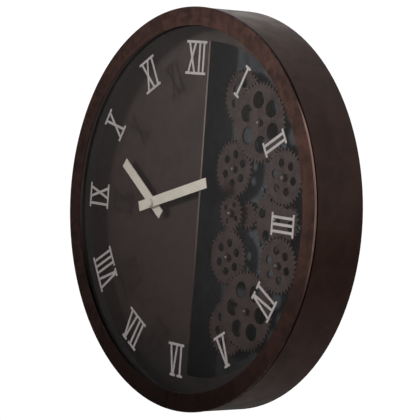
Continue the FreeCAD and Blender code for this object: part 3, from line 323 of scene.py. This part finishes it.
PATCHES = (0.35, 0.7)
PATCH_SIZE = 12
PATCH_DULLING = 0.12
TOOL_MARKS = (0.3, 0.7)
TOOL_MARK_DEPTH = 0.01
METAL_EDGE = 0.2

FLOW = (0.3, 0.7)
FLOW_SIZE = 25
FINE_GRAIN = (0.3, 0.7)
PLASTIC_EDGE = 0.3

SMEARS = (0.4, 0.8)
DUST_SIZE = 90
DUST = (0.01, 0.03)
SMEAR_SIZE = 30
SMEAR_ROUGHNESS = (0.1, 0.3)
POLISH_SIZE = 40
POLISH_ROUGHNESS = (0.02, 0.06)
GRAZING_POWER = 5.0
GLASS_REFLECTION = (0.065, 0.9)


def plated(name, base, stain_and_shade, rough=0.28, lines=(1, 1, 1), size=1.2):
    """Bright plated or turned metal with fine tool marks and dull patches."""
    finish = Finish(name)
    patches = finish.span(finish.grain(PATCH_SIZE, 5, warp=0.8), *PATCHES)
    tool_marks = finish.grain(size, 3, stretch=lines, shift=4)
    fine_roughness = finish.span(tool_marks, *TOOL_MARKS, rough - 0.08, rough + 0.1)
    dulling = finish.math("MULTIPLY", patches, PATCH_DULLING)
    finish.set(Base_Color=finish.mix(patches, base, stain_and_shade), Metallic=1.0)
    finish.set(Roughness=finish.math("ADD", fine_roughness, dulling))
    finish.bump(tool_marks, TOOL_MARK_DEPTH, METAL_EDGE)
    return finish.material


def moulded(name, base, tint, rough=0.45, grain=0.35, depth=0.015):
    """Moulded plastic with a fine spark-eroded grain and slight flow marks."""
    finish = Finish(name)
    flow = finish.span(finish.grain(FLOW_SIZE, 4, warp=1.5), *FLOW)
    fine = finish.grain(grain, 2, shift=2)
    finish.set(Base_Color=finish.mix(flow, base, tint))
    finish.set(Roughness=finish.span(fine, *FINE_GRAIN, rough - 0.06, rough + 0.08))
    finish.bump(fine, depth, PLASTIC_EDGE)
    return finish.material


def clear_glass(name):
    """Thin clear float glass: what is behind shows through, with a weak reflection on its front."""
    finish = Finish(name)
    dust = finish.span(finish.grain(DUST_SIZE, 4, warp=1.0), *SMEARS, *DUST)
    smears = finish.span(finish.grain(SMEAR_SIZE, 5, shift=6), *SMEARS, *SMEAR_ROUGHNESS)
    finish.set(Base_Color=rgb(90, 96, 96), Alpha=dust, Roughness=smears)
    gloss = finish.add("ShaderNodeBsdfGlossy")
    gloss.inputs["Color"].default_value = (1, 1, 1, 1)
    polish = finish.span(finish.grain(POLISH_SIZE, 3, shift=9), *SMEARS, *POLISH_ROUGHNESS)
    finish.feed(gloss.inputs["Roughness"], polish)
    facing_away = finish.add("ShaderNodeLayerWeight")
    facing_away.inputs["Blend"].default_value = 0.5
    grazing = finish.math("POWER", facing_away.outputs["Facing"], GRAZING_POWER)
    reflected = finish.span(grazing, 0, 1, *GLASS_REFLECTION, "LINEAR")
    front_only = finish.math("SUBTRACT", 1.0, finish.add("ShaderNodeNewGeometry").outputs["Backfacing"])
    both = finish.add("ShaderNodeMixShader")
    finish.link(finish.math("MULTIPLY", reflected, front_only), both.inputs[0])
    finish.link(finish.shader.outputs[0], both.inputs[1])
    finish.link(gloss.outputs[0], both.inputs[2])
    finish.link(both.outputs[0], finish.output.inputs["Surface"])
    return finish.material


# ---------------------------------------------------------------- the clock's finishes

PAINTS = {
    "case_paint": dict(
        dark=rgb(46, 33, 29), base=rgb(54, 40, 35), light=rgb(63, 47, 41), cloud=110, mottle=22,
        rough=(0.28, 0.36), peel=0.005, worn=rgb(96, 74, 60), edge=0.4, specular=0.2, marks=case_marks),
    "bezel_paint": dict(
        dark=rgb(48, 35, 31), base=rgb(70, 49, 44), light=rgb(92, 66, 58), mottle=12,
        rough=(0.3, 0.38), metal=0.85, marks=bezel_marks),
    "ring_paint": dict(
        dark=rgb(40, 38, 37), base=rgb(46, 44, 43), light=rgb(52, 50, 48), rough=(0.4, 0.55)),
    "rear_ring_paint": dict(
        dark=rgb(40, 40, 40), base=rgb(50, 50, 50), light=rgb(58, 58, 58), rough=(0.4, 0.55)),
    "dial_paint": dict(
        dark=rgb(47, 35, 32), base=rgb(55, 43, 40), light=rgb(66, 52, 48), cloud=95, mottle=20,
        worn=rgb(150, 132, 124), edge=0.6, marks=dial_marks),
    "board_paint": dict(
        dark=rgb(62, 66, 72), base=rgb(74, 80, 87), light=rgb(86, 94, 102), cloud=70, mottle=22,
        rough=(0.4, 0.55), marks=board_marks),
    "gear_paint": dict(
        dark=rgb(58, 47, 45), base=rgb(70, 58, 55), light=rgb(82, 69, 66),
        rough=(0.36, 0.5), worn=rgb(130, 112, 102), edge=0.4, specular=0.2),
    "collar_paint": dict(
        dark=rgb(38, 31, 29), base=rgb(48, 39, 36), light=rgb(60, 50, 46), mottle=3,
        soft=0.1, worn=rgb(120, 104, 94), edge=0.2),
    "hand_paint": dict(
        dark=rgb(234, 229, 216), base=rgb(242, 237, 224), light=rgb(248, 243, 232), cloud=40, mottle=8,
        rough=(0.35, 0.5), peel=0.015),
    "numeral_paint": dict(
        dark=rgb(172, 168, 169), base=rgb(185, 181, 182), light=rgb(195, 191, 192), cloud=30, mottle=5,
        rough=(0.4, 0.55), peel=0.015, soft=0.1),
}

PLASTICS = {
    "rubber": dict(base=rgb(34, 34, 34), tint=rgb(48, 47, 46), rough=0.75, grain=0.6, depth=0.03),
    "movement_plastic": dict(base=rgb(34, 34, 35), tint=rgb(48, 48, 50)),
    "drive_plastic": dict(base=rgb(40, 40, 42), tint=rgb(54, 54, 57), grain=0.5),
    "knob_plastic": dict(base=rgb(206, 204, 198), tint=rgb(190, 186, 178), rough=0.3),
    "gear_plastic": dict(base=rgb(226, 222, 212), tint=rgb(210, 204, 190), rough=0.35, depth=0.006),
}

METALS = {
    "zinc_plate": dict(base=rgb(196, 198, 200), stain_and_shade=rgb(160, 162, 158), rough=0.35),
    "screw_steel": dict(base=rgb(200, 200, 200), stain_and_shade=rgb(168, 166, 162)),
    "stud_steel": dict(
        base=rgb(226, 226, 226), stain_and_shade=rgb(204, 202, 200), rough=0.18, lines=(1, 6, 1), size=0.3),
    "motor_can": dict(
        base=rgb(190, 190, 190), stain_and_shade=rgb(160, 160, 160), rough=0.3, lines=(6, 1, 6), size=0.4),
    "brass": dict(base=rgb(206, 172, 100), stain_and_shade=rgb(168, 132, 72), rough=0.25, lines=(6, 1, 6), size=0.3),
    "coil_copper": dict(
        base=rgb(196, 108, 60), stain_and_shade=rgb(150, 76, 44), rough=0.3, lines=(1, 8, 8), size=0.15),
    "cell_wrap": dict(
        base=rgb(150, 152, 146), stain_and_shade=rgb(120, 124, 116), rough=0.3, lines=(8, 1, 1), size=0.5),
}

finishes = {"glass": clear_glass("glass")}
for make, looks in ((paint, PAINTS), (moulded, PLASTICS), (plated, METALS)):
    for name, look in looks.items():
        finishes[name] = make(name, **look)

for part in frame["record"]["subparts"]:
    node = frame["nodes"][part["node"]]
    node.data.materials.clear()
    node.data.materials.append(finishes[part["material_slot"]])

# The heads of these screws show on the board's front and are painted over with it.
frame["nodes"]["drive_mounting_screws"].data.materials[0] = finishes["board_paint"]


# ---------------------------------------------------------------- floor

FLOOR_DROP = 3.0
FLOOR_RADIUS = 1.3
FLOOR_SIDES = 96


def make_floor():
    """A round pale floor far below the clock."""
    turns = [2 * math.pi * side / FLOOR_SIDES for side in range(FLOOR_SIDES)]
    rim = [(FLOOR_RADIUS * math.cos(turn), FLOOR_RADIUS * math.sin(turn), -FLOOR_DROP) for turn in turns]
    mesh = bpy.data.meshes.new("studio_floor")
    mesh.from_pydata(rim, [], [tuple(range(FLOOR_SIDES))])
    finish = Finish("studio_floor")
    pale = finish.mix(finish.grain(400, 2), rgb(250, 250, 250), rgb(255, 255, 255))
    finish.set(Base_Color=pale, Roughness=0.9)
    mesh.materials.append(finish.material)
    floor = bpy.data.objects.new("studio_floor", mesh)
    bpy.context.scene.collection.objects.link(floor)
    return floor


floor = make_floor()


# ---------------------------------------------------------------- lights

LIGHT_DISTANCE = 3.0
WHITE = (1.0, 1.0, 1.0)


def facing(azimuth, elevation):
    """Direction from the clock: azimuth 0 is straight in front and 90 is to the right, in degrees."""
    around = math.radians(azimuth)
    upward = math.radians(elevation)
    level = math.cos(upward)
    return Vector((math.sin(around) * level, -math.cos(around) * level, math.sin(upward)))


def lamp(name, kind, azimuth, elevation, energy, colour, aim=(0, 0, 0), gloss=True, diffuse=True):
    """A light turned to `aim`. It may be left out of reflections or of diffuse light."""
    data = bpy.data.lights.new(name, kind)
    data.energy = energy
    data.color = colour
    thing = bpy.data.objects.new(name, data)
    direction = facing(azimuth, elevation)
    thing.location = Vector(aim) + direction * LIGHT_DISTANCE
    thing.rotation_mode = "QUATERNION"
    thing.rotation_quaternion = direction.to_track_quat("Z", "Y")
    thing.visible_glossy = gloss
    thing.visible_diffuse = diffuse
    bpy.context.scene.collection.objects.link(thing)
    return data


def spot(name, azimuth, elevation, energy, colour, aim, cone, size, **rays):
    """A spot lamp `size` metres in radius. Its light fades evenly over a cone of `cone` degrees."""
    data = lamp(name, "SPOT", azimuth, elevation, energy, colour, aim, **rays)
    data.spot_size = math.radians(cone)
    data.spot_blend = 1.0
    data.shadow_soft_size = size


def sun(name, azimuth, elevation, energy, spread, colour=WHITE, **rays):
    """Even light from a patch of sky `spread` degrees wide."""
    data = lamp(name, "SUN", azimuth, elevation, energy, colour, **rays)
    data.angle = math.radians(spread)


spot("key_light", -49, 9, energy=375, colour=(1.0, 0.98, 0.95), aim=(0.22, -0.253, 0.22),
     cone=23.7, size=0.3, gloss=False)
spot("gleam", -42, 6, energy=72, colour=(1.0, 0.94, 0.92), aim=(0.21, 0.0, 0.03),
     cone=10, size=0.25, diffuse=False)
sun("side_light", 74, -4, energy=1.15, spread=60, colour=(1.0, 0.92, 0.88), gloss=False)
sun("top_light", 0, 88, energy=1.1, spread=50)
sun("back_fill", 200, 14, energy=2.4, spread=40, gloss=False)
sun("rim_light", -130, 17, energy=0.08, spread=35, diffuse=False)
sun("low_rim_light", -134, -29, energy=0.022, spread=34, colour=(0.97, 1.0, 0.95), diffuse=False)


# ---------------------------------------------------------------- surroundings

BACKDROP = 1.05
AMBIENT_COLOUR = (1.0, 0.92, 0.9, 1.0)
AMBIENT_BELOW = 0.03
AMBIENT_ABOVE = 0.42
AMBIENT_RISE = (-0.25, 0.2)
FLOOR_GLOW = 0.28
GLOW_FALL = (-0.45, -0.9)
DIFFUSE_SHARE = 0.45


def make_world():
    """A white backdrop for the camera. The clock sees dimmer walls, pale again towards the floor."""
    world = bpy.data.worlds.new("studio")
    bpy.context.scene.world = world
    world.use_nodes = True
    room = Nodes(world.node_tree)
    rays = room.add("ShaderNodeLightPath")
    upward = room.component(room.add("ShaderNodeTexCoord").outputs["Generated"], "Z")
    walls = room.span(upward, *AMBIENT_RISE, AMBIENT_BELOW, AMBIENT_ABOVE)
    glow = room.span(upward, *GLOW_FALL, 0.0, FLOOR_GLOW, "LINEAR")
    dimmed = room.span(rays.outputs["Is Diffuse Ray"], 0, 1, 1.0, DIFFUSE_SHARE, "LINEAR")
    ambient = room.add("ShaderNodeBackground")
    ambient.inputs["Color"].default_value = AMBIENT_COLOUR
    room.link(room.math("MULTIPLY", room.math("ADD", walls, glow), dimmed), ambient.inputs["Strength"])
    backdrop = room.add("ShaderNodeBackground")
    backdrop.inputs["Color"].default_value = (1, 1, 1, 1)
    backdrop.inputs["Strength"].default_value = BACKDROP
    both = room.add("ShaderNodeMixShader")
    room.link(rays.outputs["Is Camera Ray"], both.inputs[0])
    room.link(ambient.outputs[0], both.inputs[1])
    room.link(backdrop.outputs[0], both.inputs[2])
    room.link(both.outputs[0], room.add("ShaderNodeOutputWorld").inputs["Surface"])


make_world()


# ---------------------------------------------------------------- camera

CAMERA_PLACE = Vector((1.88213, -1.46371, 0.16620))
CAMERA_AZIMUTH = 52.05
CAMERA_ELEVATION = 3.99
CAMERA_ROLL = math.radians(4.008)
CAMERA_LENS = 176.9
CAMERA_SENSOR = 36.0
CAMERA_NEAR = 0.05
CAMERA_FAR = 300.0


def make_camera():
    """A camera to the right of the clock and slightly above its middle, rolled a little."""
    data = bpy.data.cameras.new("camera")
    data.lens = CAMERA_LENS
    data.sensor_width = CAMERA_SENSOR
    data.clip_start = CAMERA_NEAR
    data.clip_end = CAMERA_FAR
    camera = bpy.data.objects.new("camera", data)
    back = facing(CAMERA_AZIMUTH, CAMERA_ELEVATION)
    level = (-back).cross(Vector((0, 0, 1))).normalized()
    upright = level.cross(-back)
    right = math.cos(CAMERA_ROLL) * level + math.sin(CAMERA_ROLL) * upright
    up = -math.sin(CAMERA_ROLL) * level + math.cos(CAMERA_ROLL) * upright
    turn = Matrix((right, up, back)).transposed().to_4x4()
    camera.matrix_world = Matrix.Translation(CAMERA_PLACE) @ turn
    bpy.context.scene.collection.objects.link(camera)
    bpy.context.scene.camera = camera


make_camera()
bpy.context.scene.view_settings.view_transform = "Standard"
bpy.context.scene.view_settings.look = "None"
